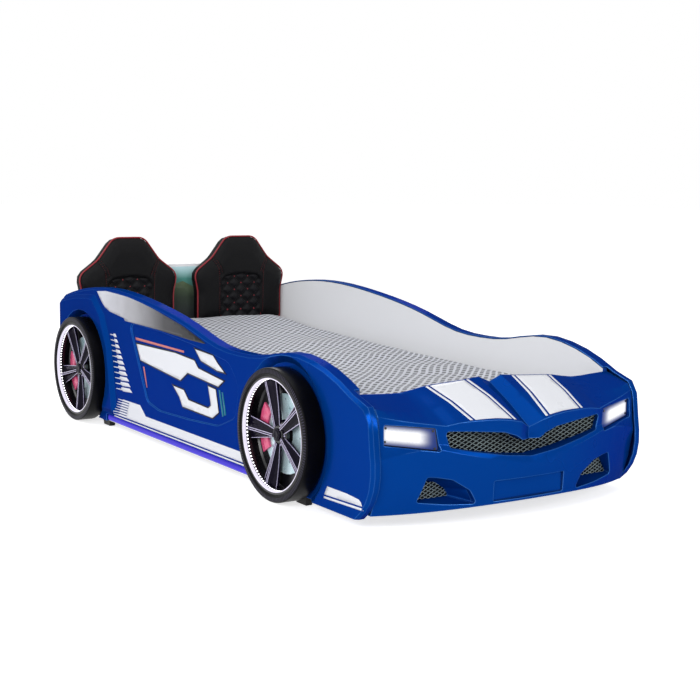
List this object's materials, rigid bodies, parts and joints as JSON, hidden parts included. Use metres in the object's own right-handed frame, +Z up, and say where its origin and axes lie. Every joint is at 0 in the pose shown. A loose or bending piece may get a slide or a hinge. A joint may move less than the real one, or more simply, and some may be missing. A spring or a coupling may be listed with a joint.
{
  "type": "car bed for children",
  "caption": "Single child's bed shaped as a sports car: board frame with slatted deck, moulded body shells, dummy lit wheels, headlamps, padded seat headboard and mattress.",
  "frame": {"origin": "centre of the bed's footprint on the floor, midway between nose and tail", "axes": "+Z up, nose along -Y, +X to the car's left side"},
  "size_m": [1.092, 2.202, 0.687],
  "materials": {
    "white_board": "satin laminate",
    "plain_wood": "plain",
    "zinc_steel": "zinc plated",
    "black_plastic": "matt",
    "blue_gloss": "high gloss",
    "black_metal": "semi-gloss",
    "lit_white": "translucent",
    "tyre_black": "satin",
    "dark_violet_gloss": "high gloss",
    "disc_silver": "satin",
    "red_gloss": "gloss",
    "aluminium": "satin",
    "lit_violet": "translucent",
    "black_leather": "satin grain",
    "red_piping": "satin",
    "grey_fabric": "woven"
  },
  "bodies": {
    "bed_frame": {"side_board_right": "white_board", "side_board_left": "white_board", "front_board": "white_board", "headboard": "white_board", "ledger_rail_right": "plain_wood", "ledger_rail_left": "plain_wood", "bed_slats": "plain_wood", "corner_brackets": "zinc_steel", "bracket_screws": "zinc_steel", "board_feet": "black_plastic", "flank_shell_right": "blue_gloss", "flank_shell_left": "blue_gloss", "front_mask": "blue_gloss", "grille_mesh": "black_metal", "fog_mesh_right": "black_metal", "fog_mesh_left": "black_metal", "headlamp_housing_right": "black_plastic", "headlamp_lens_right": "lit_white", "headlamp_housing_left": "black_plastic", "headlamp_lens_left": "lit_white", "headlamp_screws": "black_metal", "tyre_front_right": "tyre_black", "rim_front_right": "dark_violet_gloss", "light_ring_front_right": "lit_white", "brake_disc_front_right": "disc_silver", "caliper_front_right": "red_gloss", "tyre_front_left": "tyre_black", "rim_front_left": "dark_violet_gloss", "light_ring_front_left": "lit_white", "brake_disc_front_left": "disc_silver", "caliper_front_left": "red_gloss", "tyre_rear_right": "tyre_black", "rim_rear_right": "dark_violet_gloss", "light_ring_rear_right": "lit_white", "brake_disc_rear_right": "disc_silver", "caliper_rear_right": "red_gloss", "tyre_rear_left": "tyre_black", "rim_rear_left": "dark_violet_gloss", "light_ring_rear_left": "lit_white", "brake_disc_rear_left": "disc_silver", "caliper_rear_left": "red_gloss", "hub_caps": "black_plastic", "wheel_spacers": "black_plastic", "underglow_channel_right": "aluminium", "underglow_diffuser_right": "lit_violet", "underglow_channel_left": "aluminium", "underglow_diffuser_left": "lit_violet", "seat_backrest_right": "black_leather", "seat_quilt_right": "black_leather", "seat_piping_right": "red_piping", "seat_board_right": "plain_wood", "seat_backrest_left": "black_leather", "seat_quilt_left": "black_leather", "seat_piping_left": "red_piping", "seat_board_left": "plain_wood", "power_box": "black_plastic", "power_inlet": "black_plastic"},
    "mattress": {"mattress": "grey_fabric"},
    "switch_rocker": {"rocker_switch": "black_plastic"}
  },
  "joints": [
    {"name": "mattress_lift", "type": "slide", "parent": "bed_frame", "child": "mattress", "axis": [0, 0, 1], "range_m": [0, 0.6]},
    {"name": "rocker_tilt", "type": "hinge", "parent": "bed_frame", "child": "switch_rocker", "pos_m": [-0.03, 1.092, 0.182], "axis": [1, 0, 0], "range_deg": [0, 16]}
  ]
}
